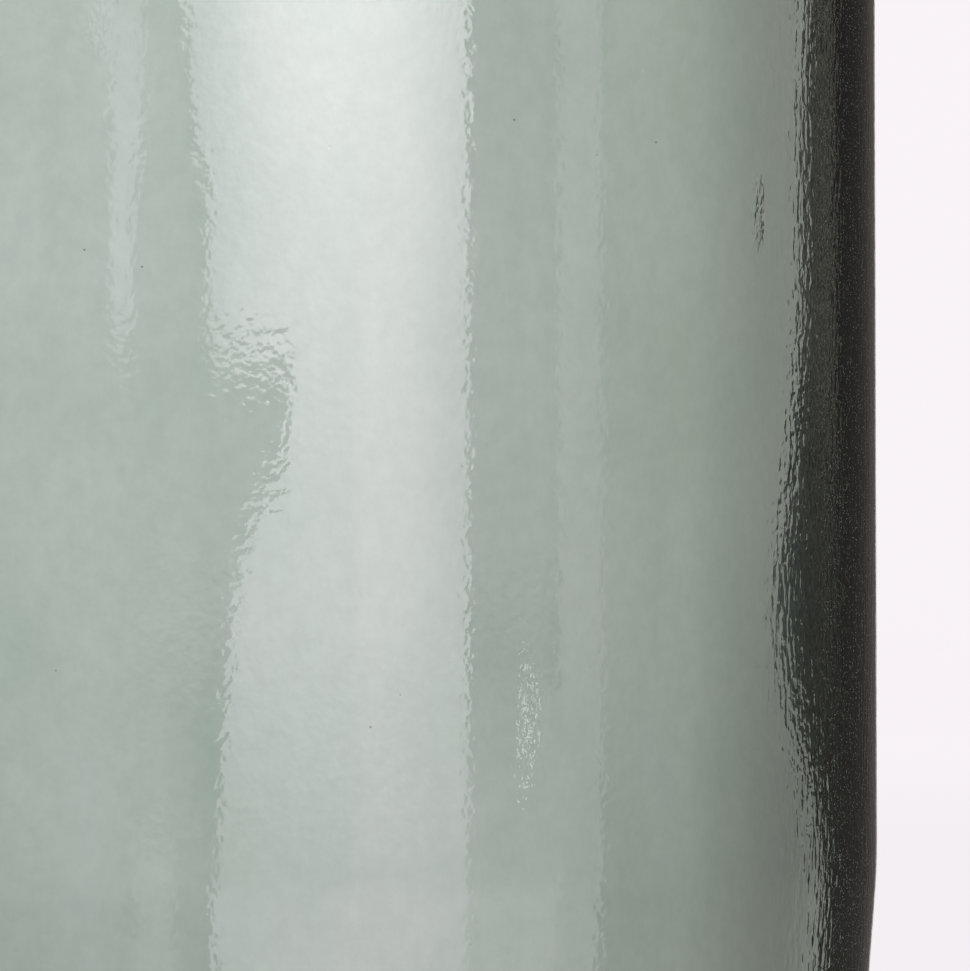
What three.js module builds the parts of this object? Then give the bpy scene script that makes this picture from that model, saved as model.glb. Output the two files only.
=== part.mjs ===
// Tall stoneware bottle vase with a grey-green celadon glaze.
//
// Millimetres, +Z up. The origin is the centre of the foot ring's resting face, and every
// sub-part is turned about the Z axis. The vase is one thrown pot and three fused glaze coats:
//   clay_body    fired stoneware, from the foot ring to the lip
//   outer_glaze  the coat outside, from just above the foot to the crown of the lip
//   liner_glaze  the coat inside, from the crown of the lip down to the floor
//   base_glaze   the glaze that lines the recess inside the foot ring

import * as THREE from "three";

// ---- Driving dimensions ----

const HEIGHT = 350;
const BELLY_RADIUS = 80; // the widest place, where the wall turns in towards the foot
const TURN_HEIGHT = 92; // height of that turn
const TURN_BLEND = 3.2; // half the length over which the turn is rounded
const TAPER_ANGLE = THREE.MathUtils.degToRad(4.2); // of the wall below the turn
const WALL_DRAFT = 0.0027; // the wall above the turn narrows by this much per unit of height
const WALL = 7.2; // clay and both glaze coats together
const GLAZE = 0.9;
const CONTACT_GAP = 0.02; // between the clay and each coat, which would otherwise share a face

const SHOULDER_BASE = 236; // height where the wall starts to round over
const SHOULDER_RADIUS = 50;
const NECK_RADIUS = 36;
const NECK_FILLET = 16; // concave blend from shoulder to neck
const FLARE_BASE = 314; // height where the neck starts to open out
const LIP_REACH = 41.5; // radius of the centre of the rounded lip
const LIP_TILT = 30; // degrees that the mouth's wall leans outward at the lip

const UNDERSIDE_TOP = 32; // height where the rounded underside meets the taper
const UNDERSIDE_CORNER = 14; // height at which the underside's two tangents cross
const UNDERSIDE_START = { radius: 57, height: 9 }; // where the underside leaves the foot
const FLOOR_TOP = 15;
const FLOOR_RADIUS = 44; // the flat part of the inside floor
const FLOOR_CORNER_TOP = 36; // height where the inside wall starts to round into the floor

const FOOT_OUTER = 56;
const FOOT_INNER = 48;
const FOOT_WAIST = { radius: 55.2, height: 7 }; // the turned groove above the foot ring
const FOOT_CHAMFER = 1;
const RECESS_DEPTH = 6;
const RECESS_CHAMFER = 1.8;
const BASE_GLAZE_GAP = 0.5; // bare clay between the recess glaze and the foot ring's chamfer

const SEGMENTS = 48; // facets round the axis
const LIP_STEPS = 6;
const CROWN_STEP = 4; // the lip's highest point, where the outer coat and the liner meet
const BARE_STEPS = 2; // steps of the underside left unglazed, next to the foot

// Steps along each curve of the wall, coarser inside, where the curves are tighter and less seen.
const OUTSIDE_STEPS = { underside: 6, turn: 2, shoulder: 7, fillet: 4, flare: 4 };
const INSIDE_STEPS = { flare: 3, fillet: 3, shoulder: 5, floorCorner: 4 };

// ---- Materials ----

const clayFinish = new THREE.MeshStandardMaterial({ color: 0x9d8469, roughness: 0.85, metalness: 0 });
const celadonFinish = new THREE.MeshStandardMaterial({ color: 0xa6b4aa, roughness: 0.12, metalness: 0 });
const linerFinish = new THREE.MeshStandardMaterial({ color: 0xa9b5a8, roughness: 0.16, metalness: 0 });
const baseFinish = new THREE.MeshStandardMaterial({ color: 0x9aa79b, roughness: 0.2, metalness: 0 });

// ---- Profile curves: x is the radius, y is the height ----

const at = (radius, height) => new THREE.Vector2(radius, height);

// Radius of the outside wall, less the given thickness, above and below the turn.
const upperWall = (height, inward) => BELLY_RADIUS - inward - WALL_DRAFT * (height - TURN_HEIGHT);
const taperWall = (height, inward) => BELLY_RADIUS - inward - Math.tan(TAPER_ANGLE) * (TURN_HEIGHT - height);

const bend = (start, corner, end, steps) => new THREE.QuadraticBezierCurve(start, corner, end).getPoints(steps);

// Points on a circular arc, from one angle to another in degrees, anticlockwise when end > start.
function arc(centre, radius, startDegrees, endDegrees, steps) {
  const start = THREE.MathUtils.degToRad(startDegrees);
  const end = THREE.MathUtils.degToRad(endDegrees);
  const clockwise = end < start;
  const curve = new THREE.EllipseCurve(centre.x, centre.y, radius, radius, start, end, clockwise);
  return curve.getPoints(steps);
}

// Joins curves end to end, keeping one point where two of them meet.
function chain(curves) {
  const joined = [];
  for (const point of curves.flat()) {
    const last = joined.at(-1);
    if (!last || last.distanceTo(point) > 1e-6) {
      joined.push(point);
    }
  }
  return joined;
}

const shoulderCentre = at(upperWall(SHOULDER_BASE, 0) - SHOULDER_RADIUS, SHOULDER_BASE);
const filletReach = SHOULDER_RADIUS + NECK_FILLET;
const filletX = NECK_RADIUS + NECK_FILLET;
const filletRise = Math.sqrt(filletReach ** 2 - (filletX - shoulderCentre.x) ** 2);
const filletCentre = at(filletX, SHOULDER_BASE + filletRise);
const shoulderEnd = THREE.MathUtils.radToDeg(Math.atan2(filletRise, filletX - shoulderCentre.x));
const lip = arc(at(LIP_REACH, HEIGHT - WALL / 2), WALL / 2, -LIP_TILT, 180 - LIP_TILT, LIP_STEPS);

// Where the straight run of the flare, leaning out by LIP_TILT, crosses the neck's vertical line.
function flareCorner(neckRadius, end) {
  const rise = (end.x - neckRadius) / Math.tan(THREE.MathUtils.degToRad(LIP_TILT));
  return at(neckRadius, end.y - rise);
}

// From the foot up the outside to the start of the lip.
function outsideCurves() {
  const foot = at(UNDERSIDE_START.radius, UNDERSIDE_START.height);
  const corner = at(taperWall(UNDERSIDE_CORNER, 0), UNDERSIDE_CORNER);
  const taperEnd = at(taperWall(UNDERSIDE_TOP, 0), UNDERSIDE_TOP);
  const turnStart = at(taperWall(TURN_HEIGHT - TURN_BLEND, 0), TURN_HEIGHT - TURN_BLEND);
  const turnEnd = at(upperWall(TURN_HEIGHT + TURN_BLEND, 0), TURN_HEIGHT + TURN_BLEND);
  const lipStart = lip[0];
  return [
    bend(foot, corner, taperEnd, OUTSIDE_STEPS.underside),
    bend(turnStart, at(BELLY_RADIUS, TURN_HEIGHT), turnEnd, OUTSIDE_STEPS.turn),
    arc(shoulderCentre, SHOULDER_RADIUS, 0, shoulderEnd, OUTSIDE_STEPS.shoulder),
    arc(filletCentre, NECK_FILLET, 180 + shoulderEnd, 180, OUTSIDE_STEPS.fillet),
    bend(at(NECK_RADIUS, FLARE_BASE), flareCorner(NECK_RADIUS, lipStart), lipStart, OUTSIDE_STEPS.flare),
  ];
}

// From the end of the lip down the inside to the middle of the floor.
function insideCurves() {
  const neck = NECK_RADIUS - WALL;
  const lipEnd = lip.at(-1);
  const cornerTop = at(taperWall(FLOOR_CORNER_TOP, WALL), FLOOR_CORNER_TOP);
  const corner = at(taperWall(FLOOR_TOP, WALL), FLOOR_TOP);
  return [
    bend(lipEnd, flareCorner(neck, lipEnd), at(neck, FLARE_BASE), INSIDE_STEPS.flare),
    arc(filletCentre, NECK_FILLET + WALL, 180, 180 + shoulderEnd, INSIDE_STEPS.fillet),
    arc(shoulderCentre, SHOULDER_RADIUS - WALL, shoulderEnd, 0, INSIDE_STEPS.shoulder),
    [at(BELLY_RADIUS - WALL, TURN_HEIGHT)],
    bend(cornerTop, corner, at(FLOOR_RADIUS, FLOOR_TOP), INSIDE_STEPS.floorCorner),
    [at(0, FLOOR_TOP)],
  ];
}

// Every point moved into the clay, which lies on the left of a path that runs up the outside
// and down the inside.
function insetPath(path, distance) {
  return path.map((point, index) => {
    const before = path[Math.max(index - 1, 0)];
    const after = path[Math.min(index + 1, path.length - 1)];
    const incoming = point.clone().sub(before).normalize();
    const outgoing = after.clone().sub(point).normalize();
    const along = incoming.add(outgoing).normalize();
    return at(point.x - along.y * distance, point.y + along.x * distance);
  });
}

const outside = chain(outsideCurves());
const surface = chain([outside, lip, ...insideCurves()]);
const clayFace = insetPath(surface, GLAZE);
const coatBack = insetPath(surface, GLAZE - CONTACT_GAP);
const crown = outside.length - 1 + CROWN_STEP;

// ---- Closed sections ----

const footSection = [
  at(0, RECESS_DEPTH),
  at(FOOT_INNER - RECESS_CHAMFER, RECESS_DEPTH),
  at(FOOT_INNER, RECESS_DEPTH - RECESS_CHAMFER),
  at(FOOT_INNER, FOOT_CHAMFER),
  at(FOOT_INNER + FOOT_CHAMFER, 0),
  at(FOOT_OUTER - FOOT_CHAMFER, 0),
  at(FOOT_OUTER, FOOT_CHAMFER),
  at(FOOT_WAIST.radius, FOOT_WAIST.height),
];

const claySection = [...footSection, ...clayFace];

// The outer coat feathers out at its lower edge, and ends in a ring at the crown of the lip.
const outerGlazeSection = [
  coatBack[BARE_STEPS],
  ...surface.slice(BARE_STEPS + 1, crown + 1),
  ...coatBack.slice(BARE_STEPS, crown + 1).reverse(),
];

const linerSection = [...coatBack.slice(crown).reverse(), ...surface.slice(crown)];

const baseGlazeEdge = FOOT_INNER - RECESS_CHAMFER - BASE_GLAZE_GAP;
const baseGlazeSection = [
  at(0, RECESS_DEPTH - GLAZE),
  at(baseGlazeEdge - GLAZE, RECESS_DEPTH - GLAZE),
  at(baseGlazeEdge, RECESS_DEPTH - CONTACT_GAP),
  at(0, RECESS_DEPTH - CONTACT_GAP),
];

// ---- Assembly ----

// Turns a closed section about the vase's axis and stands it up along +Z.
function turned(name, section, finish) {
  const geometry = new THREE.LatheGeometry(section, SEGMENTS);
  geometry.rotateX(Math.PI / 2);
  const mesh = new THREE.Mesh(geometry, finish);
  mesh.name = name;
  return mesh;
}

const vase = new THREE.Group();
vase.add(turned("clay_body", claySection, clayFinish));
vase.add(turned("outer_glaze", outerGlazeSection, celadonFinish));
vase.add(turned("liner_glaze", linerSection, linerFinish));
vase.add(turned("base_glaze", baseGlazeSection, baseFinish));

export default vase;
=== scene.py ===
"""A tall stoneware bottle vase with a grey-green celadon glaze, in a plain pale studio.

Metres, +Z up, in the CAD model's frame: the origin is the centre of the foot ring's resting
face, and the vase is turned about the Z axis. Four pieces replace the four CAD solids: the clay
pot, the coat outside, the coat inside, and the glaze in the recess of the foot.
"""

import math

import bpy
import numpy as np
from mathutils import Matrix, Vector


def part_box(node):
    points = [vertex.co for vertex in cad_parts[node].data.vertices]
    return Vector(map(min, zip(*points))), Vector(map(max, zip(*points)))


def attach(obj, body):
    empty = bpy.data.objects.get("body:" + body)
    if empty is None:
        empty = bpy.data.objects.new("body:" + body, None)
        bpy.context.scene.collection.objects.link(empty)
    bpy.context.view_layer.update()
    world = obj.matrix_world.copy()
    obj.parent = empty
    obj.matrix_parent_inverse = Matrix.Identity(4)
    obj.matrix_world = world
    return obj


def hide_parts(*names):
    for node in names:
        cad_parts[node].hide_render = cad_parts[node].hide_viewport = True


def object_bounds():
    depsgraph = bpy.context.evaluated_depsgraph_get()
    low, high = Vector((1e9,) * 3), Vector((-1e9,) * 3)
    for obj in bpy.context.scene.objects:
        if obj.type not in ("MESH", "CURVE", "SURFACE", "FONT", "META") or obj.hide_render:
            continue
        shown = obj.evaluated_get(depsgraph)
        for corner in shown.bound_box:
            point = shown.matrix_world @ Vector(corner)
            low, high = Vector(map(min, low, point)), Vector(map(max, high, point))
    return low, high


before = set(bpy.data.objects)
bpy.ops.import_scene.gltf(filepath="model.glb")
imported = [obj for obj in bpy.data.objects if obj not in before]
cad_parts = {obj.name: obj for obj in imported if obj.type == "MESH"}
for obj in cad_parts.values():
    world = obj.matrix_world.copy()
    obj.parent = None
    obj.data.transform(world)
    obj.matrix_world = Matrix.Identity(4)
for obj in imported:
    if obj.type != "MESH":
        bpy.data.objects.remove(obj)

MM = 0.001
CAD_LOW, CAD_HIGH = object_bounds()

# ---- Sizes of the vase, from the frame where it gives them ----

HEIGHT = CAD_HIGH.z
BELLY_RADIUS = CAD_HIGH.x
CLAY_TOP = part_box("clay_body")[1].z
GLAZE_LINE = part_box("outer_glaze")[0].z  # height on the clay where the outer coat starts
RECESS_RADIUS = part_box("base_glaze")[1].x
RECESS_GLAZE_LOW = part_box("base_glaze")[0].z
RECESS_GLAZE_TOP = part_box("base_glaze")[1].z

COAT = HEIGHT - CLAY_TOP  # thickness of a glaze coat
CONTACT_GAP = 0.02 * MM  # left between the clay and each coat
WALL = 7.2 * MM  # clay and both coats together

TURN_HEIGHT = 92 * MM  # where the wall turns in towards the foot
TURN_BLEND = 3.2 * MM
TAPER_SLOPE = math.tan(math.radians(4.2))
WALL_DRAFT = 0.0027
SHOULDER_BASE = 236 * MM
SHOULDER_RADIUS = 50 * MM
NECK_RADIUS = 36 * MM
NECK_FILLET = 16 * MM
FLARE_BASE = 314 * MM
LIP_REACH = 41.5 * MM
LIP_TILT = math.radians(30)
UNDERSIDE_TOP = 32 * MM
UNDERSIDE_CORNER = 14 * MM
UNDERSIDE_START = (57 * MM, 9 * MM)
FLOOR_TOP = 15 * MM
FLOOR_RADIUS = 44 * MM
FLOOR_CORNER_TOP = 36 * MM
RECESS_DEPTH = 6 * MM
FOOT_INNER = 48 * MM
FOOT_OUTER = 56 * MM
FOOT_WAIST = (55.2 * MM, 7 * MM)

SEGMENTS = 256
PATH_STEP = 0.25 * MM


# ---- Curves in the (radius, height) plane ----


def bend(start, corner, end, count=60):
    """Points on the curve that leaves start and reaches end along its two lines to corner."""
    t = np.linspace(0, 1, count)[:, None]
    start, corner, end = np.array(start), np.array(corner), np.array(end)
    return (1 - t) ** 2 * start + 2 * t * (1 - t) * corner + t**2 * end


def arc(centre, radius, start, end, count=80):
    """Points on a circular arc between two angles in radians."""
    angle = np.linspace(start, end, count)
    ring = np.stack([np.cos(angle), np.sin(angle)], axis=1)
    return np.array(centre) + radius * ring


class Path:
    """A line through points in the (radius, height) plane, read by the distance along it."""

    def __init__(self, curves):
        points = np.concatenate([np.array(curve, float).reshape(-1, 2) for curve in curves])
        steps = np.linalg.norm(np.diff(points, axis=0), axis=1)
        keep = np.concatenate([[True], steps > 1e-9])
        points = points[keep]
        run = np.concatenate([[0], np.cumsum(np.linalg.norm(np.diff(points, axis=0), axis=1))])
        self.length = run[-1]
        self.run = np.linspace(0, self.length, int(self.length / PATH_STEP) + 2)
        self.points = np.stack([np.interp(self.run, run, points[:, k]) for k in (0, 1)], axis=1)
        along = np.gradient(self.points, axis=0)
        along /= np.linalg.norm(along, axis=1)[:, None]
        self.normals = np.stack([along[:, 1], -along[:, 0]], axis=1)

    def at(self, distance, lift):
        """Radius and height of the points this far along the path, and lifted off it by lift."""
        distance = np.clip(distance, 0, self.length)
        place = [np.interp(distance, self.run, self.points[:, k]) for k in (0, 1)]
        normal = [np.interp(distance, self.run, self.normals[:, k]) for k in (0, 1)]
        return place[0] + normal[0] * lift, place[1] + normal[1] * lift

    def distance_at_height(self, height):
        """How far along the path it first rises to this height."""
        return self.run[np.argmax(self.points[:, 1] >= height)]


def upper_wall(height, inward=0.0):
    return BELLY_RADIUS - inward - WALL_DRAFT * (height - TURN_HEIGHT)


def taper_wall(height, inward=0.0):
    return BELLY_RADIUS - inward - TAPER_SLOPE * (TURN_HEIGHT - height)


SHOULDER_CENTRE = (upper_wall(SHOULDER_BASE) - SHOULDER_RADIUS, SHOULDER_BASE)
FILLET_X = NECK_RADIUS + NECK_FILLET
FILLET_RISE = math.sqrt((SHOULDER_RADIUS + NECK_FILLET) ** 2 - (FILLET_X - SHOULDER_CENTRE[0]) ** 2)
FILLET_CENTRE = (FILLET_X, SHOULDER_BASE + FILLET_RISE)
SHOULDER_END = math.atan2(FILLET_RISE, FILLET_X - SHOULDER_CENTRE[0])
LIP_CENTRE = (LIP_REACH, HEIGHT - WALL / 2)


def flare_corner(neck, end):
    """Where the mouth's wall, leaning out by LIP_TILT at end, would cross the neck's line."""
    return (neck, end[1] - (end[0] - neck) / math.tan(LIP_TILT))


def outside_path():
    """The glaze surface from the foot to the crown of the lip."""
    lip = arc(LIP_CENTRE, WALL / 2, -LIP_TILT, math.pi / 2)
    turn_low = TURN_HEIGHT - TURN_BLEND
    turn_high = TURN_HEIGHT + TURN_BLEND
    return Path([
        bend(UNDERSIDE_START, (taper_wall(UNDERSIDE_CORNER), UNDERSIDE_CORNER),
             (taper_wall(UNDERSIDE_TOP), UNDERSIDE_TOP)),
        bend((taper_wall(turn_low), turn_low), (BELLY_RADIUS, TURN_HEIGHT),
             (upper_wall(turn_high), turn_high)),
        arc(SHOULDER_CENTRE, SHOULDER_RADIUS, 0, SHOULDER_END),
        arc(FILLET_CENTRE, NECK_FILLET, math.pi + SHOULDER_END, math.pi),
        bend((NECK_RADIUS, FLARE_BASE), flare_corner(NECK_RADIUS, lip[0]), lip[0]),
        lip,
    ])


def inside_path():
    """The glaze surface from the crown of the lip to the middle of the floor."""
    neck = NECK_RADIUS - WALL
    lip = arc(LIP_CENTRE, WALL / 2, math.pi / 2, math.pi - LIP_TILT)
    return Path([
        lip,
        bend(lip[-1], flare_corner(neck, lip[-1]), (neck, FLARE_BASE)),
        arc(FILLET_CENTRE, NECK_FILLET + WALL, math.pi, math.pi + SHOULDER_END),
        arc(SHOULDER_CENTRE, SHOULDER_RADIUS - WALL, SHOULDER_END, 0),
        [(BELLY_RADIUS - WALL, TURN_HEIGHT)],
        bend((taper_wall(FLOOR_CORNER_TOP, WALL), FLOOR_CORNER_TOP), (taper_wall(FLOOR_TOP, WALL), FLOOR_TOP),
             (FLOOR_RADIUS, FLOOR_TOP)),
        [(0, FLOOR_TOP)],
    ])


OUTSIDE = outside_path()
INSIDE = inside_path()


# ---- Surface relief ----

SWAY = 0.004  # height in mm of the wall's slow undulation
SWELL = 0.0012  # and of its quicker one
OUTER_RINGS = (0.01, 10.5)  # throwing rings outside, near the shoulder: height and pitch in mm
INNER_RINGS = (0.16, 8.5)  # and inside
FOOT_MARKS = (0.045, 1.15)  # turning marks on the foot: depth and pitch in mm
UNDERSIDE_MARKS = (0.05, 1.4)
THIN_LIP = 0.35  # share of its thickness that a coat loses at the lip


def ripple(angle, distance, radius, wavelength, seed, count=48):
    """A random ripple of unit size and one wavelength, which closes on itself round the vase."""
    random = np.random.default_rng(seed)
    total = np.zeros(np.broadcast(angle, distance).shape)
    for _ in range(count):
        heading = random.uniform(0, math.pi)
        phase = random.uniform(0, 2 * math.pi)
        pitch = wavelength * random.uniform(0.75, 1.35)
        waves = round(2 * math.pi / pitch * radius * math.cos(heading))
        upward = 2 * math.pi / pitch * math.sin(heading)
        total += np.cos(waves * angle + upward * distance + phase)
    return total * math.sqrt(2 / count)


def fade(value, start, end):
    """0 before start, 1 after end, and smooth between them."""
    t = np.clip((value - start) / (end - start), 0, 1)
    return t * t * (3 - 2 * t)


def spiral(distance, rings):
    """A spiral of rings along a path, from their height and pitch in mm."""
    size, pitch = rings
    return size * np.cos(2 * math.pi * distance / (pitch * MM) + ANGLE)


# ---- Meshes of revolution ----

ANGLE = np.linspace(0, 2 * math.pi, SEGMENTS, endpoint=False)


def turned_mesh(name, radius, height, coat=None, start_on_axis=False, end_on_axis=False):
    """A closed mesh from rows of points round the axis; radius and height are rows by SEGMENTS.

    Rows run with the solid on their left. A row list that doesn't start and end on the axis
    closes on itself. coat is how thick the glaze is at each point, where 1 is its even thickness.
    """
    rows = radius.shape[0]
    x, y = radius * np.cos(ANGLE), radius * np.sin(ANGLE)
    points = list(np.stack([x, y, height], axis=2).reshape(-1, 3))
    column = np.arange(SEGMENTS)
    after = (column + 1) % SEGMENTS
    faces = []
    last = rows - 1 if start_on_axis else rows
    for row in range(last):
        low, high = row * SEGMENTS, (row + 1) % rows * SEGMENTS
        faces += np.stack([low + column, low + after, high + after, high + column], axis=1).tolist()
    if start_on_axis:
        points.append((0, 0, height[0].mean()))
        pole = len(points) - 1
        faces += [(pole, int(b), int(a)) for a, b in zip(column, after)]
    if end_on_axis:
        points.append((0, 0, height[-1].mean()))
        pole = len(points) - 1
        top = (rows - 1) * SEGMENTS
        faces += [(top + int(a), top + int(b), pole) for a, b in zip(column, after)]
    mesh = bpy.data.meshes.new(name)
    mesh.from_pydata(points, [], faces)
    mesh.polygons.foreach_set("use_smooth", [True] * len(mesh.polygons))
    if coat is not None:
        values = np.ones(len(points))
        values[: rows * SEGMENTS] = coat.reshape(-1)
        mesh.attributes.new("coat", "FLOAT", "POINT").data.foreach_set("value", values)
    mesh.update()
    piece = bpy.data.objects.new(name, mesh)
    bpy.context.scene.collection.objects.link(piece)
    return piece


def spaced(start, end, step):
    """Distances from start to end, about step apart, both ends included."""
    return np.linspace(start, end, max(2, int(round((end - start) / step)) + 1))


LINE = OUTSIDE.distance_at_height(GLAZE_LINE)  # nominal start of the outer coat along the path
EDGE_REACH = 14 * MM  # how far up from the coat's lower edge its waviness is felt
HIDDEN_OUTSIDE = spaced(LINE + EDGE_REACH * 2, OUTSIDE.length, 3 * MM)
HIDDEN_INSIDE = spaced(0, INSIDE.length - 8 * MM, 3 * MM)


def wavy_edge():
    """How far the outer coat's lower edge wanders up or down round the vase."""
    slow = ripple(ANGLE, 0.0, 66 * MM, 85 * MM, seed=11, count=10)
    quick = ripple(ANGLE, 0.0, 66 * MM, 16 * MM, seed=12, count=16)
    return 0.8 * MM * slow + 0.25 * MM * quick


def outer_coat():
    """The celadon coat outside: a rolled, wavy lower edge, a rippled wall and a thinner lip."""
    lip_start = OUTSIDE.length - LINE - 12 * MM
    edge = np.concatenate([
        spaced(0, 1.6 * MM, 0.2 * MM),
        spaced(1.6 * MM, 8 * MM, 0.8 * MM)[1:],
    ])
    wall = spaced(8 * MM, lip_start, 1.3 * MM)[1:]
    lip = spaced(lip_start, OUTSIDE.length - LINE, 0.6 * MM)[1:]
    up = np.concatenate([edge, wall, lip])[:, None]
    distance = LINE + up + wavy_edge() * np.exp(-((up / EDGE_REACH) ** 2))

    round_off = np.sqrt(1 - np.clip(1 - up / (1.4 * MM), 0, 1) ** 2)
    bead = 0.32 * np.exp(-(((up - 1.8 * MM) / (1.6 * MM)) ** 2))
    thickness = round_off * (1 + bead)
    coat = thickness - THIN_LIP * fade(distance, OUTSIDE.length - 7 * MM, OUTSIDE.length)

    calm = fade(up, 3 * MM, 10 * MM)
    sway = SWAY * ripple(ANGLE, distance, BELLY_RADIUS, 42 * MM, seed=21)
    swell = SWELL * ripple(ANGLE, distance, BELLY_RADIUS, 11 * MM, seed=22)
    rings = spiral(distance, OUTER_RINGS) * fade(distance, 190 * MM, 250 * MM)
    relief = calm * (sway + swell + rings - 0.045) * MM
    lip_dip = 0.1 * MM * fade(distance, OUTSIDE.length - 4 * MM, OUTSIDE.length)
    lift = (thickness - 1) * COAT + relief - lip_dip
    radius, height = OUTSIDE.at(distance, np.maximum(lift, CONTACT_GAP - COAT))

    near_edge = np.array([0, 2, 5, 9, 14, 20]) * MM
    back = np.concatenate([near_edge, HIDDEN_OUTSIDE - LINE])[::-1, None]
    back_distance = LINE + back + wavy_edge() * np.exp(-((back / EDGE_REACH) ** 2))
    back_radius, back_height = OUTSIDE.at(back_distance, CONTACT_GAP - COAT)
    return turned_mesh(
        "outer_celadon_coat",
        np.concatenate([radius[1:], back_radius]),
        np.concatenate([height[1:], back_height]),
        np.concatenate([coat[1:], np.ones_like(back_radius)]),
    )


def liner_coat():
    """The coat inside: a spiral of throwing rings down the wall and across the floor."""
    down = np.concatenate([
        spaced(0, 16 * MM, 0.8 * MM),
        spaced(16 * MM, INSIDE.length - 2 * MM, 1.9 * MM)[1:],
    ])[::-1, None]
    deep = fade(down, 14 * MM, 60 * MM) * fade(INSIDE.length - down, 2 * MM, 14 * MM)
    uneven = 1 + 0.3 * ripple(ANGLE, down, 60 * MM, 60 * MM, seed=31, count=20)
    rings = (spiral(down, INNER_RINGS) * uneven - 0.2) * deep
    sway = 0.01 * ripple(ANGLE, down, 60 * MM, 30 * MM, seed=32) * deep
    coat = 1 - THIN_LIP * (1 - fade(down, 0, 7 * MM)) + 0.25 * rings
    lip_dip = 0.1 * (1 - fade(down, 0, 4 * MM))
    radius, height = INSIDE.at(down, (rings + sway - lip_dip) * MM)

    back = HIDDEN_INSIDE[:, None] + 0 * ANGLE
    back_radius, back_height = INSIDE.at(back, CONTACT_GAP - COAT)
    return turned_mesh(
        "inner_celadon_coat",
        np.concatenate([back_radius[::-1], radius[::-1]]),
        np.concatenate([back_height[::-1], height[::-1]]),
        np.concatenate([np.ones_like(back_radius), coat[::-1]]),
        start_on_axis=True,
        end_on_axis=True,
    )


def foot_path():
    """The bare clay from the recess round the foot ring to where the underside starts."""
    under = OUTSIDE.at(np.array([0.0]), np.array([-COAT]))
    start = (under[0][0], under[1][0])
    corner = 1 * MM
    waist, waist_height = FOOT_WAIST
    return Path([
        [(FOOT_INNER - 3.4 * MM, RECESS_DEPTH)],
        bend((FOOT_INNER - 2.4 * MM, RECESS_DEPTH), (FOOT_INNER, RECESS_DEPTH),
             (FOOT_INNER, RECESS_DEPTH - 2.4 * MM)),
        bend((FOOT_INNER, corner), (FOOT_INNER, 0), (FOOT_INNER + corner, 0)),
        bend((FOOT_OUTER - corner, 0), (FOOT_OUTER, 0), (FOOT_OUTER - 0.1 * MM, corner)),
        bend((waist + 0.15 * MM, waist_height - 1.4 * MM), FOOT_WAIST,
             (waist + 0.8 * MM, waist_height + 1.4 * MM)),
        [start],
    ])


def clay_pot():
    """The fired clay: turning marks on the foot and underside, plain where the glaze hides it."""
    foot = foot_path()
    ring = spaced(0, foot.length - 0.3 * MM, 0.3 * MM)[:, None] + 0 * ANGLE
    depth, pitch = FOOT_MARKS
    marks = depth * (0.5 - spiral(ring, (0.5, pitch)))
    chatter = 0.5 + 0.5 * ripple(ANGLE, ring, 55 * MM, 26 * MM, seed=41, count=20)
    radius, height = foot.at(ring, 0.0)
    standing = fade(height, 0.15 * MM, 1.0 * MM)
    cut = (marks * np.clip(chatter, 0.2, 1.4) + 0.03) * standing * MM
    foot_radius, foot_height = foot.at(ring, -cut)
    wear = 0.12 * MM * np.clip(ripple(ANGLE, ring, 55 * MM, 14 * MM, seed=42, count=20) - 1.2, 0, 1)
    edge = np.exp(-(((height - 0.5 * MM) / (0.5 * MM)) ** 2)) * (height > 0.02 * MM)
    foot_height = np.maximum(foot_height, 0) + wear * edge

    bare = spaced(0, LINE + 9 * MM, 0.35 * MM)[:, None] + 0 * ANGLE
    depth, pitch = UNDERSIDE_MARKS
    marks = depth * (0.5 - spiral(bare, (0.5, pitch)))
    marks_end = 1 - fade(bare, LINE - 3.5 * MM, LINE - 2.5 * MM)
    bare_radius, bare_height = OUTSIDE.at(bare, -COAT - marks * marks_end * MM)

    outside = HIDDEN_OUTSIDE[:-1, None] + 0 * ANGLE
    outer_radius, outer_height = OUTSIDE.at(outside, -COAT)
    inside = HIDDEN_INSIDE[:, None] + 0 * ANGLE
    inner_radius, inner_height = INSIDE.at(inside, -COAT)
    recess = np.array([6, 22, 36])[:, None] * MM + 0 * ANGLE
    radius = np.concatenate([recess, foot_radius, bare_radius, outer_radius, inner_radius])
    height = np.concatenate([
        np.full_like(recess, RECESS_DEPTH), foot_height, bare_height, outer_height, inner_height,
    ])
    return turned_mesh("stoneware_pot", radius, height, start_on_axis=True, end_on_axis=True)


def recess_glaze():
    """The glaze in the foot's recess: a thin pool with a rounded, wavy edge."""
    wander = 0.35 * MM * ripple(ANGLE, 0.0, RECESS_RADIUS, 30 * MM, seed=51, count=12)
    reach = RECESS_RADIUS - 0.75 * MM + np.clip(wander, -0.7 * MM, 0.7 * MM)
    share = np.concatenate([np.linspace(0.06, 0.94, 30), np.linspace(0.95, 1, 14)])[:, None]
    out = share * reach
    inset = reach - out
    round_off = np.sqrt(1 - np.clip(1 - inset / (1.3 * MM), 0, 1) ** 2)
    bead = 0.12 * np.exp(-(((inset - 1.6 * MM) / (1.5 * MM)) ** 2))
    thick = (RECESS_GLAZE_TOP - RECESS_GLAZE_LOW) * round_off * (0.84 + bead)
    thick = thick + 0.006 * MM * ripple(ANGLE, out, 30 * MM, 12 * MM, seed=52) * fade(inset, 0, 4 * MM)
    coat = round_off * (0.95 + bead) + 0 * ANGLE
    back = reach * np.array([0.97, 0.6, 0.2])[:, None]
    return turned_mesh(
        "recess_celadon_coat",
        np.concatenate([out, back]),
        np.concatenate([RECESS_GLAZE_TOP - thick, np.full_like(back, RECESS_GLAZE_TOP)]),
        np.concatenate([coat, np.ones_like(back)]),
        start_on_axis=True,
        end_on_axis=True,
    )


# ---- Materials ----

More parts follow.
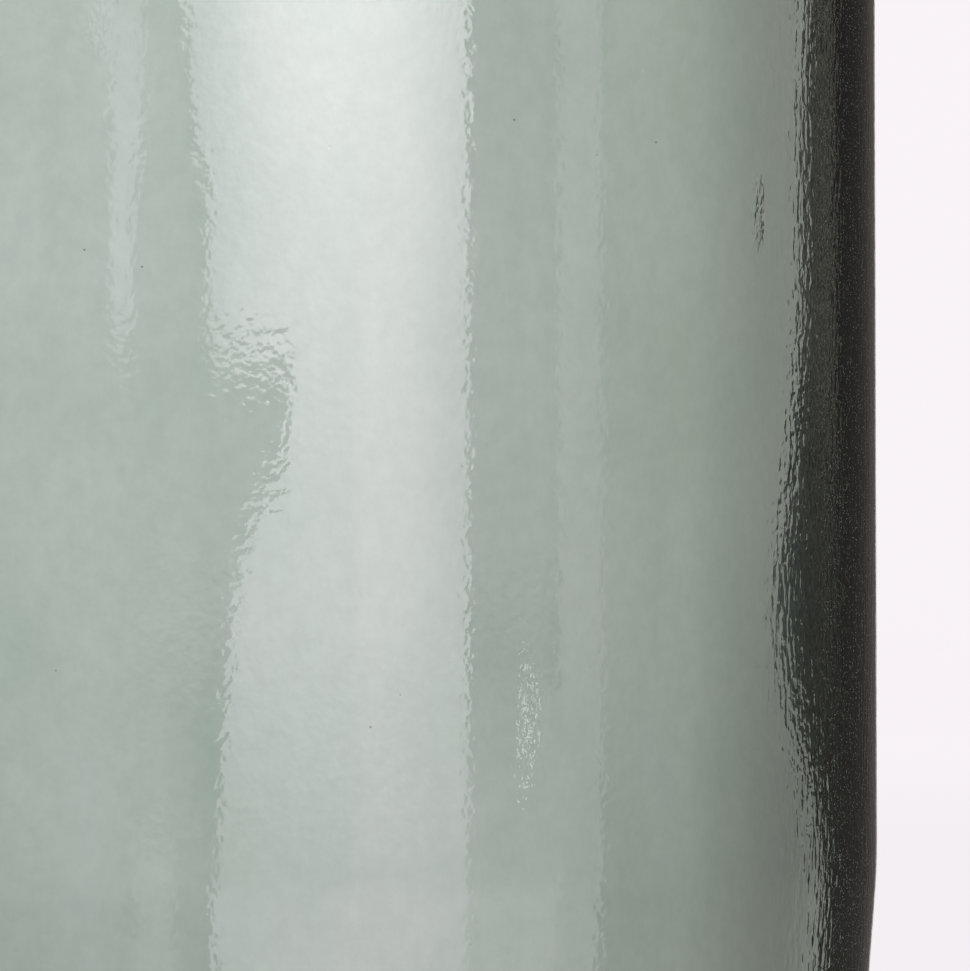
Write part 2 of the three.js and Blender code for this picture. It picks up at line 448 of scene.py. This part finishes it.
# Ripple and grain of the glaze surface: width of a cell and height, in mm. A third number is its
# rate of change along the vase against its rate round it.
PEEL = (0.9, 0.021, 0.9)
RUNS = (0.9, 0.05, 0.3)
RUNS_LOW = (150.0, 125.0, 1.8)  # from the first height down to the second, RUNS grow by this
FINE = (0.3, 0.001)
# Round marks: width of a cell, radius, share of cells that hold one, and height or depth, in mm.
GRIT = (0.42, 0.14, 0.6, 0.18)
DIMPLE = (2.4, 0.3, 0.07, 0.015)
PITS = (5.5, 0.22, 0.06, 0.03)
IRON_SPECKS = (3.4, 0.17)  # the share differs between the coats, and specks are flat
ROUGH_SIDE = (58.0, 70.0)  # the range of X, in mm, over which the glaze grows rougher
ROUGH_GROWTH = (2.0, 5.0)  # how much PEEL and FINE grow by there
GRIT_SIDE = (70.5, 76.5)  # the range of X over which grit starts
# Patches of small dents in the glaze: the middle, the reach along X, Y and Z, and the depth.
DENT_PATCHES = [
    ((63.7, -48.1, 173.0), (2.0, 2.0, 7.5), 0.26),
    ((36.2, -71.2, 111.5), (3.2, 3.2, 12.0), 0.04),
    ((-15.5, -78.2, 194.0), (2.6, 2.6, 4.5), 0.1),
]
DENTS = (0.6, 0.6)  # the width of a dent, and its rate of change along the vase as above


class Shader:
    """A node material with short calls for the nodes that the materials here share."""

    def __init__(self, name):
        self.material = bpy.data.materials.new(name)
        self.material.use_nodes = True
        self.nodes = self.material.node_tree.nodes
        self.links = self.material.node_tree.links
        self.surface = self.nodes["Principled BSDF"]
        self.place = self.nodes.new("ShaderNodeTexCoord").outputs["Object"]

    def join(self, source, socket):
        if isinstance(source, bpy.types.NodeSocket):
            self.links.new(source, socket)
        else:
            socket.default_value = source

    def stretched(self, scale):
        node = self.nodes.new("ShaderNodeMapping")
        node.inputs["Scale"].default_value = scale
        self.links.new(self.place, node.inputs["Vector"])
        return node.outputs["Vector"]

    def noise(self, size, detail=2.0, roughness=0.5, place=None):
        """Noise whose cells are this wide, in metres."""
        node = self.nodes.new("ShaderNodeTexNoise")
        node.inputs["Scale"].default_value = 1 / size
        node.inputs["Detail"].default_value = detail
        node.inputs["Roughness"].default_value = roughness
        self.links.new(place or self.place, node.inputs["Vector"])
        return node.outputs["Fac"]

    def dots(self, size, radius, share, soft=0.35):
        """1 inside round dots of this radius, on the given share of cells of this size."""
        node = self.nodes.new("ShaderNodeTexVoronoi")
        node.inputs["Scale"].default_value = 1 / size
        self.links.new(self.place, node.inputs["Vector"])
        outer = radius / size
        inside = self.ramp(node.outputs["Distance"], outer * (1 - soft), outer, 1.0, 0.0)
        channel = self.nodes.new("ShaderNodeSeparateColor")
        self.links.new(node.outputs["Color"], channel.inputs["Color"])
        chosen = self.math("LESS_THAN", channel.outputs["Red"], share)
        return self.math("MULTIPLY", inside, chosen)

    def math(self, operation, first, second):
        node = self.nodes.new("ShaderNodeMath")
        node.operation = operation
        self.join(first, node.inputs[0])
        self.join(second, node.inputs[1])
        return node.outputs["Value"]

    def ramp(self, value, start, end, low=0.0, high=1.0):
        """Runs smoothly from low to high as value goes from start to end."""
        node = self.nodes.new("ShaderNodeMapRange")
        node.interpolation_type = "SMOOTHSTEP"
        self.links.new(value, node.inputs["Value"])
        node.inputs["From Min"].default_value = start
        node.inputs["From Max"].default_value = end
        node.inputs["To Min"].default_value = low
        node.inputs["To Max"].default_value = high
        return node.outputs["Result"]

    def mix(self, amount, first, second):
        """Goes from the first colour to the second, and past it where amount is over 1."""
        node = self.nodes.new("ShaderNodeMix")
        node.data_type = "RGBA"
        node.clamp_factor = False
        self.join(amount, node.inputs["Factor"])
        for source, name in ((first, "A"), (second, "B")):
            socket = next(s for s in node.inputs if s.name == name and s.type == "RGBA")
            self.join(source if isinstance(source, bpy.types.NodeSocket) else (*source, 1.0), socket)
        return next(s for s in node.outputs if s.type == "RGBA")

    def nearness(self, centre, reach):
        """Distance from a point in mm, as a share of the reach in mm along X, Y and Z."""
        node = self.nodes.new("ShaderNodeMapping")
        node.vector_type = "TEXTURE"
        node.inputs["Location"].default_value = [c * MM for c in centre]
        node.inputs["Scale"].default_value = [r * MM for r in reach]
        self.links.new(self.place, node.inputs["Vector"])
        length = self.nodes.new("ShaderNodeVectorMath")
        length.operation = "LENGTH"
        self.links.new(node.outputs["Vector"], length.inputs[0])
        return length.outputs["Value"]

    def attribute(self, name):
        node = self.nodes.new("ShaderNodeAttribute")
        node.attribute_name = name
        return node.outputs["Fac"]

    def bump(self, height_mm):
        node = self.nodes.new("ShaderNodeBump")
        node.inputs["Strength"].default_value = 1.0
        node.inputs["Distance"].default_value = MM
        self.links.new(height_mm, node.inputs["Height"])
        self.links.new(node.outputs["Normal"], self.surface.inputs["Normal"])


def celadon(name, green, grey, deep, thin, iron_share, roughness):
    """Glossy grey-green glaze: cloudy colour, soft runs, iron specks and a fine ripple."""
    s = Shader(name)
    runs = s.noise(9 * MM, 2.0, place=s.stretched((1.0, 1.0, 0.14)))
    cloud = s.noise(26 * MM, 3.0, 0.55)
    shade = s.math("ADD", s.math("MULTIPLY", cloud, 0.6), s.math("MULTIPLY", runs, 0.4))
    colour = s.mix(s.ramp(shade, 0.36, 0.64), green, grey)
    mottle = s.ramp(s.noise(2.4 * MM, 3.0, 0.65), 0.25, 0.75, 0.96, 1.04)
    strokes = s.ramp(s.noise(1.0 * MM, 2.0, 0.5, s.stretched((1.0, 1.0, 0.25))), 0.25, 0.75, 0.99, 1.01)
    broad = s.ramp(shade, 0.38, 0.62, 0.955, 1.035)
    tone = s.math("MULTIPLY", broad, s.math("MULTIPLY", mottle, strokes))
    colour = s.mix(tone, (0, 0, 0), colour)
    coat = s.attribute("coat")
    colour = s.mix(s.ramp(coat, 1.02, 1.3, 0.0, 0.75), colour, deep)
    worn = s.math("ADD", coat, s.math("MULTIPLY", s.noise(1.6 * MM, 3.0, 0.6), 0.22))
    colour = s.mix(s.ramp(worn, 0.72, 1.0, 0.8, 0.0), colour, thin)
    iron = s.dots(IRON_SPECKS[0] * MM, IRON_SPECKS[1] * MM, iron_share)
    colour = s.mix(s.math("MULTIPLY", iron, 0.75), colour, (0.07, 0.055, 0.035))
    pits = s.dots(PITS[0] * MM, PITS[1] * MM, PITS[2])
    colour = s.mix(s.math("MULTIPLY", pits, 0.35), colour, (0.66, 0.68, 0.65))
    s.links.new(colour, s.surface.inputs["Base Color"])

    gloss = s.ramp(s.noise(12 * MM, 2.0), 0.3, 0.7, roughness, roughness * 1.5)
    gloss = s.math("ADD", gloss, s.math("MULTIPLY", pits, 0.2))
    s.links.new(gloss, s.surface.inputs["Roughness"])
    s.surface.inputs["IOR"].default_value = 1.5

    split = s.nodes.new("ShaderNodeSeparateXYZ")
    s.links.new(s.place, split.inputs["Vector"])
    side = split.outputs["X"]
    low, high = (edge * MM for edge in ROUGH_SIDE)
    peel = s.math("MULTIPLY", s.noise(PEEL[0] * MM, 1.0, 0.4, s.stretched((1.0, 1.0, PEEL[2]))), PEEL[1])
    peel = s.math("MULTIPLY", peel, s.ramp(side, low, high, 1.0, ROUGH_GROWTH[0]))
    fine = s.math("MULTIPLY", s.noise(FINE[0] * MM, 1.0), FINE[1])
    fine = s.math("MULTIPLY", fine, s.ramp(side, low, high, 1.0, ROUGH_GROWTH[1]))
    streaks = s.noise(RUNS[0] * MM, 1.0, 0.4, s.stretched((1.0, 1.0, RUNS[2])))
    streaks = s.math("MULTIPLY", streaks, s.ramp(side, low, high, 0.0, RUNS[1]))
    lower = s.ramp(split.outputs["Z"], RUNS_LOW[0] * MM, RUNS_LOW[1] * MM, 1.0, RUNS_LOW[2])
    streaks = s.math("MULTIPLY", streaks, lower)
    grit = s.dots(GRIT[0] * MM, GRIT[1] * MM, GRIT[2], 1.0)
    grit = s.math("MULTIPLY", grit, s.ramp(side, GRIT_SIDE[0] * MM, GRIT_SIDE[1] * MM, 0.0, GRIT[3]))
    dimples = s.math("MULTIPLY", s.dots(DIMPLE[0] * MM, DIMPLE[1] * MM, DIMPLE[2], 1.0), -DIMPLE[3])
    holes = s.math("MULTIPLY", pits, -PITS[3])
    dents = s.noise(DENTS[0] * MM, 1.0, 0.5, s.stretched((1.0, 1.0, DENTS[1])))
    patches = [
        s.math("MULTIPLY", dents, s.ramp(s.nearness(middle, reach), 0.3, 1.0, depth, 0.0))
        for middle, reach, depth in DENT_PATCHES
    ]
    relief = peel
    for layer in (fine, streaks, grit, dimples, holes, *patches):
        relief = s.math("ADD", relief, layer)
    s.bump(relief)
    return s.material


def bare_stoneware():
    """Unglazed fired clay: warm buff-brown, sandy, with iron spots and pale grog."""
    s = Shader("bare_stoneware")
    toasted = s.noise(18 * MM, 3.0, 0.6)
    colour = s.mix(s.ramp(toasted, 0.35, 0.68), (0.47, 0.35, 0.235), (0.34, 0.215, 0.125))
    sand = s.ramp(s.noise(0.7 * MM, 3.0, 0.7), 0.25, 0.75, 0.8, 1.16)
    colour = s.mix(sand, (0, 0, 0), colour)
    grog = s.dots(1.7 * MM, 0.32 * MM, 0.3)
    colour = s.mix(s.math("MULTIPLY", grog, 0.6), colour, (0.62, 0.53, 0.41))
    iron = s.dots(2.3 * MM, 0.26 * MM, 0.2)
    colour = s.mix(s.math("MULTIPLY", iron, 0.8), colour, (0.055, 0.035, 0.022))
    s.links.new(colour, s.surface.inputs["Base Color"])
    s.links.new(s.ramp(toasted, 0.3, 0.7, 0.72, 0.9), s.surface.inputs["Roughness"])
    grain = s.math("MULTIPLY", s.noise(0.5 * MM, 3.0, 0.7), 0.1)
    lumps = s.math("MULTIPLY", grog, 0.03)
    s.bump(s.math("ADD", grain, lumps))
    return s.material


def glaze_of(name, roughness, iron_share=0.05, warmth=0.0):
    """One of the celadon coats; warmth moves its colour from green towards grey."""
    green = (0.405 + warmth, 0.502, 0.42 - warmth)
    grey = (0.435 + warmth, 0.503, 0.44 - warmth)
    deep = (0.32, 0.43, 0.355)
    thin = (0.42, 0.33, 0.225)
    return celadon(name, green, grey, deep, thin, iron_share, roughness)


def dress(piece, material, node):
    """Gives a piece its material, hides the CAD node it stands for, and hangs the piece under the root body.
    """
    piece.data.materials.append(material)
    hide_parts(node)
    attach(piece, "root")
    return piece


PIECES = [
    dress(clay_pot(), bare_stoneware(), "clay_body"),
    dress(outer_coat(), glaze_of("outer_celadon", 0.04), "outer_glaze"),
    dress(liner_coat(), glaze_of("inner_celadon", 0.06, 0.08, 0.01), "liner_glaze"),
    dress(recess_glaze(), glaze_of("recess_celadon", 0.07, 0.1, 0.015), "base_glaze"),
]


# ---- Studio: azimuth 0 is towards the camera, and positive is to its right ----


def around(azimuth, distance, height):
    """The point this far from the vase's axis, at this azimuth in degrees and this height."""
    turn = math.radians(azimuth)
    return Vector((distance * math.sin(turn), -distance * math.cos(turn), height))


def group(name, members):
    """A collection outside the scene, which only says what a light falls on or is blocked by."""
    collection = bpy.data.collections.new(name)
    for member in members:
        collection.objects.link(member)
    return collection


def staged(name, points, faces, material, seen_by):
    """A studio surface that only the named kinds of ray meet."""
    mesh = bpy.data.meshes.new(name)
    mesh.from_pydata(points, [], faces)
    mesh.polygons.foreach_set("use_smooth", [True] * len(mesh.polygons))
    mesh.materials.append(material)
    surface = bpy.data.objects.new(name, mesh)
    bpy.context.scene.collection.objects.link(surface)
    for kind in ("camera", "diffuse", "glossy", "transmission", "volume_scatter", "shadow"):
        setattr(surface, "visible_" + kind, kind in seen_by)
    return surface


def glowing(name, colour):
    """A surface that shines by the amount its points carry in the attribute glow."""
    s = Shader(name)
    s.nodes.remove(s.surface)
    light = s.nodes.new("ShaderNodeEmission")
    light.inputs["Color"].default_value = (*colour, 1.0)
    s.links.new(s.attribute("glow"), light.inputs["Strength"])
    s.links.new(light.outputs["Emission"], s.nodes["Material Output"].inputs["Surface"])
    s.material.cycles.emission_sampling = "NONE"
    return s.material


def shine(surface, amount):
    """Sets how strongly the points of a reflector shine."""
    surface.data.attributes.new("glow", "FLOAT", "POINT").data.foreach_set("value", amount)


CARD_RADIUS = 0.35
CARD_STEPS = 24  # across a card
LAYER_GAP = 0.01  # between a card and the next layer of cards
FLOOR_GLOW = 1.5  # how strongly the glaze sees the pale floor
NEUTRAL = (1.0, 0.985, 0.99)
STUDIO_PINK = (1.04, 0.98, 1.03)  # of the softboxes, a little warmer than the room
VIEW_HEIGHT = 139.7 * MM  # of the level camera
FLOOR_BLEND = (0.11, 0.14)  # depth below the camera over which the cards dim to the floor's glow


def card(name, edges, bottom, top, glow, colour=NEUTRAL, layer=0):
    """A curved reflector round the vase, which only its gloss sees.

    edges are its left and right azimuths, each a number or a list of (rise, azimuth) for a
    shaped edge; a rise is a height above the camera's. glow gives the brightness at an azimuth
    and a rise. A higher layer stands in front of a lower one.
    """
    shapes = [edge if isinstance(edge, list) else [(0, edge)] for edge in edges]
    corners = [rise for shape in shapes for rise, _ in shape if bottom < rise < top]
    rises = sorted({*np.linspace(bottom, top, 16), *np.linspace(-0.07, 0.09, 17), *corners})
    rises = [rise for rise in rises if bottom <= rise <= top]
    points, amount = [], []
    for rise in rises:
        left, right = (float(np.interp(rise, *zip(*shape))) for shape in shapes)
        for azimuth in np.linspace(left, right, CARD_STEPS + 1):
            points.append(around(azimuth, CARD_RADIUS - LAYER_GAP * layer, VIEW_HEIGHT + rise))
            near_floor = float(fade(-rise, FLOOR_BLEND[0], FLOOR_BLEND[1]))
            bright = max(0.0, float(glow(azimuth, rise)))
            amount.append(bright + (min(bright, FLOOR_GLOW) - bright) * near_floor)
    faces = []
    for row in range(len(rises) - 1):
        for k in range(CARD_STEPS):
            a = row * (CARD_STEPS + 1) + k
            faces.append((a, a + 1, a + CARD_STEPS + 2, a + CARD_STEPS + 1))
    surface = staged(name, points, faces, glowing(name, colour), {"glossy"})
    shine(surface, amount)


# The edges of the reflectors in front, as (rise above the camera, azimuth). The softbox's left
# edge steps round the camera, which stands before it.
SOFTBOX_LEFT = [
    (-0.2, -3.3), (-0.09, -3.3), (-0.054, -2.6), (-0.034, -1.7), (-0.011, 0.4), (-0.002, 3.5),
    (0.004, 7.2), (0.007, 8.5), (0.0185, 9.0), (0.02, -4.0), (0.047, -4.0), (0.049, -6.0),
    (0.067, -6.7), (0.07, -8.0), (0.3, -8.0),
]
PANEL_RIGHT = [
    (-0.2, 122), (-0.1, 120.5), (-0.052, 117), (-0.044, 114), (-0.036, 109), (-0.024, 103), (-0.016, 102),
    (-0.009, 103.5), (0.0, 106), (0.012, 108), (0.024, 110.5), (0.055, 111), (0.07, 112.5), (0.3, 114),
]
LEFT_STRIP_RIGHT = [(0.022, -16.0), (0.045, -15.5), (0.052, -14.0), (0.3, -13.5)]


def veil(azimuth, rise):
    """The pale room in front: darker towards the floor, and uneven on both sides of the softbox."""
    paler = fade(azimuth, 33, 37) * (1 - fade(azimuth, 45, 50)) * (1 - fade(rise, 0.02, 0.045))
    darker = fade(azimuth, -16, -10) * fade(-rise, 0.01, 0.03) * (1 - fade(-rise, 0.042, 0.055))
    pale = 1.9 + 0.5 * fade(rise, -0.047, 0.006) + 0.5 * paler - 0.8 * darker
    return float(pale * (1 - 0.65 * fade(-azimuth, 45, 90)))


def softbox(azimuth, rise):
    """The main softbox: brightest in its middle and towards its top."""
    edge = 3.2 + 1.2 * float(fade(-rise, 0.052, 0.0915)) + 0.03 * azimuth * float(fade(-rise, -0.03, 0.038))
    middle = 0.3 + 3.5 * float(fade(rise, -0.07, 0.003)) + 59 * min(max(rise, 0.0), 0.17)
    return edge + middle * max(0.25, 1 - 0.75 * ((azimuth - 17.9) / 23) ** 2)


def shaded(azimuth, rise):
    """The side of a panel in shade: dark, with paler and darker upright stripes."""
    stripes = 0.5 - 0.5 * math.cos(2 * math.pi * (azimuth - 111.0) / 3.6)
    upper = float(fade(rise, -0.06, 0.0) + fade(rise, 0.0, 0.025))
    return (0.01 + 0.4 * stripes**2) * (0.6 + 0.6 * upper)


def lowest(rise):
    """1 on the lowest part of the reflectors, which the wall below the turn mirrors."""
    return fade(-rise, 0.06, 0.09)


def cards():
    """Everything that the glaze mirrors."""
    card("pale_room", (-92, 52.6), -0.16, 0.4, veil)
    card("main_softbox", (SOFTBOX_LEFT, 37.0), -0.16, 0.18, softbox, STUDIO_PINK, layer=2)
    card("lower_fill", (37.0, 52.6), -0.16, -0.026,
         lambda a, rise: 3.6 - 1.0 * fade(rise, -0.088, -0.026) + 0.7 * lowest(rise), layer=1)
    card("left_strip", (-19.0, LEFT_STRIP_RIGHT), 0.022, 0.18,
         lambda a, rise: 4.0 - 0.5 * fade(rise, 0.045, 0.07), STUDIO_PINK, layer=1)
    card("low_strip", (-15.4, -9.5), -0.16, -0.05, lambda a, rise: veil(a, rise) + 0.6, layer=1)
    card("narrow_band", (52.6, 61.0), -0.16, 0.28,
         lambda a, rise: 2.9 + 0.5 * fade(rise, -0.032, 0.032) + 0.9 * lowest(rise), layer=1)
    card("right_panel", (61.0, PANEL_RIGHT), -0.16, 0.28,
         lambda a, rise: (1.8 + 0.8 * fade(rise, -0.06, 0.013) - 0.4 * fade(a, 76, 110)
                          + 0.3 * lowest(rise)), (0.91, 1.0, 0.86))
    card("shaded_panel", (110.1, 125.6), -0.16, 0.4, shaded, (1.0, 1.0, 0.82), layer=-1)
    card("dim_room", (92.6, 186), -0.16, 0.4, lambda a, rise: 0.07 + 0.06 * fade(a, 140, 155),
         (1.0, 0.86, 0.8), layer=-2)
    card("small_lamp", (45.5, 47.0), -0.041, -0.025, lambda a, rise: 7.5, layer=3)
    card("backdrop", (160.8, 179), -0.16, 0.4, lambda a, rise: 0.8, (1.0, 0.97, 0.98), layer=-1)
    card("far_room", (179, 268), -0.16, 0.4, lambda a, rise: 0.5, layer=-2)
    card("back_softbox", (192, 205), -0.11, 0.22, lambda a, rise: 1.5 + 1.0 * fade(rise, -0.04, 0.11))
    card("left_softbox", (236, 252), -0.11, 0.22,
         lambda a, rise: 2.2 + 1.8 * fade(rise, -0.04, 0.11), layer=1)


def soft_light(name, azimuth, distance, height, width, length, watts, falls_on, blocked_by, aim=0.16,
               colour=(1.0, 1.0, 1.0)):
    """A soft rectangular light, aimed at the vase's axis, that the glaze doesn't mirror.

    It stands at an azimuth, a distance from the axis and a height, has a width, a length and a
    power in watts, and aims at the height aim on the axis.
    """
    data = bpy.data.lights.new(name, "AREA")
    data.color = colour
    data.shape = "RECTANGLE"
    data.size = width
    data.size_y = length
    data.energy = watts
    light = bpy.data.objects.new(name, data)
    bpy.context.scene.collection.objects.link(light)
    light.location = around(azimuth, distance, height)
    aim_point = Vector((0, 0, aim))
    light.rotation_euler = (aim_point - light.location).to_track_quat("-Z", "Y").to_euler()
    light.visible_glossy = False
    light.visible_camera = False
    light.light_linking.receiver_collection = falls_on
    light.light_linking.blocker_collection = blocked_by
    return light


def floor_material():
    """A pale floor that glows a little, so that it stays even far from the lights."""
    s = Shader("pale_floor")
    split = s.nodes.new("ShaderNodeSeparateXYZ")
    s.links.new(s.place, split.inputs["Vector"])
    across = s.nodes.new("ShaderNodeVectorMath")
    across.operation = "LENGTH"
    s.links.new(s.stretched((1.0, 1.0, 0.0)), across.inputs[0])
    far = s.ramp(across.outputs["Value"], 0.0, 4.8, 0.49, 0.893)
    high = s.ramp(split.outputs["Z"], 0.0, 0.5, 1.0, 1.01)
    s.surface.inputs["Base Color"].default_value = (0.5, 0.485, 0.497, 1.0)
    s.surface.inputs["Roughness"].default_value = 1.0
    s.surface.inputs["Specular IOR Level"].default_value = 0.0
    s.surface.inputs["Emission Color"].default_value = (1.0, 0.95, 0.99, 1.0)
    s.links.new(s.math("MULTIPLY", far, high), s.surface.inputs["Emission Strength"])
    s.material.cycles.emission_sampling = "NONE"
    return s.material


def floor_and_cove(radius=6.0, curve=1.2, wall=4.0, segments=96):
    """A round floor that sweeps up into a wall all the way round."""
    profile = [(r, 0.0) for r in (0.3, 0.8, 1.6, 3.0, radius - curve)]
    quarter = [math.pi / 2 * k / 10 for k in range(1, 11)]
    profile += [(radius - curve + curve * math.sin(q), curve - curve * math.cos(q)) for q in quarter]
    profile.append((radius, wall))
    points = [around(360 * k / segments, r, z) for r, z in profile for k in range(segments)]
    points.append(Vector((0, 0, 0)))
    middle = len(points) - 1
    faces = [(middle, (k + 1) % segments, k) for k in range(segments)]
    for row in range(len(profile) - 1):
        for k in range(segments):
            a, b = row * segments + k, row * segments + (k + 1) % segments
            faces.append((a, b, b + segments, a + segments))
    return staged("floor_and_cove", points, faces, floor_material(), {"camera"})


def shadow_flag():
    """A black flag beside the vase that keeps the front light off its right-hand edge."""
    near, depth, width, top = 0.116, 0.15, 0.5, 1.0
    far, bottom = near + width, -0.1
    points = [(near, -depth, bottom), (far, -depth, bottom), (far, -depth, top), (near, -depth, top)]
    black = Shader("black_flag")
    black.surface.inputs["Base Color"].default_value = (0.0, 0.0, 0.0, 1.0)
    return staged("shadow_flag", points, [(0, 1, 2, 3)], black.material, {"shadow"})


def lights():
    """The soft lights on the vase and on the floor, each of which lights only one of the two."""
    vase = group("vase_receives", PIECES)
    vase_blocks = group("vase_blocks", PIECES)
    floor = floor_and_cove()
    floor_only = group("floor_receives", [floor])
    flagged = group("vase_and_flag_block", [*PIECES, shadow_flag()])
    soft_light("key_left", -28, 1.0, 0.9, 0.4, 0.6, 11.2, vase, vase_blocks, 0.35, (1.0, 1.0, 1.05))
    soft_light("front_light", 30, 0.8, 0.8, 0.13, 0.5, 4.2, vase, flagged, 0.4)
    soft_light("back_light", 186, 1.4, 0.6, 0.5, 0.9, 12, vase, vase_blocks)
    soft_light("back_right_light", 168, 1.4, 0.7, 0.4, 0.9, 4, vase, vase_blocks)
    soft_light("far_left_light", 250, 1.5, 0.6, 0.7, 0.9, 8, vase, vase_blocks)
    soft_light("overhead", 200, 0.08, 1.3, 0.4, 0.4, 6, vase, vase_blocks)
    soft_light("floor_light", 0, 0.0, 2.4, 4.0, 4.0, 88, floor_only, vase_blocks)
    bounce = soft_light("floor_bounce", 0, 0.0, -0.02, 0.34, 0.34, 0.06, vase, vase_blocks)
    bounce.rotation_euler = (math.pi, 0, 0)
    bounce.data.shape = "DISK"


def floor_reflection():
    """The pale floor as the lower part of the vase mirrors it, darker in the vase's own shade."""
    steps = 48
    points = [around(360 * k / steps, 0.34, 0.0) for k in range(steps)] + [Vector((0, 0, 0))]
    faces = [(steps, k, (k + 1) % steps) for k in range(steps)]
    floor = staged("floor_reflection", points, faces, glowing("floor_glow", NEUTRAL), {"glossy"})
    shine(floor, [FLOOR_GLOW] * steps + [0.2])


def overhead_reflection():
    """A square softbox above the vase, which its shoulder and lip mirror."""
    half, height = 0.35, 1.35
    points = [(-half, -half, height), (half, -half, height), (half, half, height), (-half, half, height)]
    box = staged("overhead_softbox", points, [(0, 1, 2, 3)], glowing("overhead_glow", NEUTRAL), {"glossy"})
    shine(box, [5.0] * len(points))


def camera():
    """A level view from the front, past the vase's axis, of the wall above and below the turn."""
    side, distance = 30.6 * MM, 1.35
    data = bpy.data.cameras.new("camera")
    data.lens = 397.4
    data.sensor_width = 36.0
    data.clip_start = 0.05
    data.clip_end = 30.0
    view = bpy.data.objects.new("camera", data)
    bpy.context.scene.collection.objects.link(view)
    view.location = (side, -distance, VIEW_HEIGHT)
    view.rotation_euler = (math.pi / 2, 0, 0)
    bpy.context.scene.camera = view


def plain_world():
    world = bpy.data.worlds.new("dark_world")
    world.use_nodes = True
    world.node_tree.nodes["Background"].inputs["Color"].default_value = (0, 0, 0, 1)
    bpy.context.scene.world = world


camera()
plain_world()
cards()
lights()
floor_reflection()
overhead_reflection()
bpy.context.scene.view_settings.view_transform = "Standard"
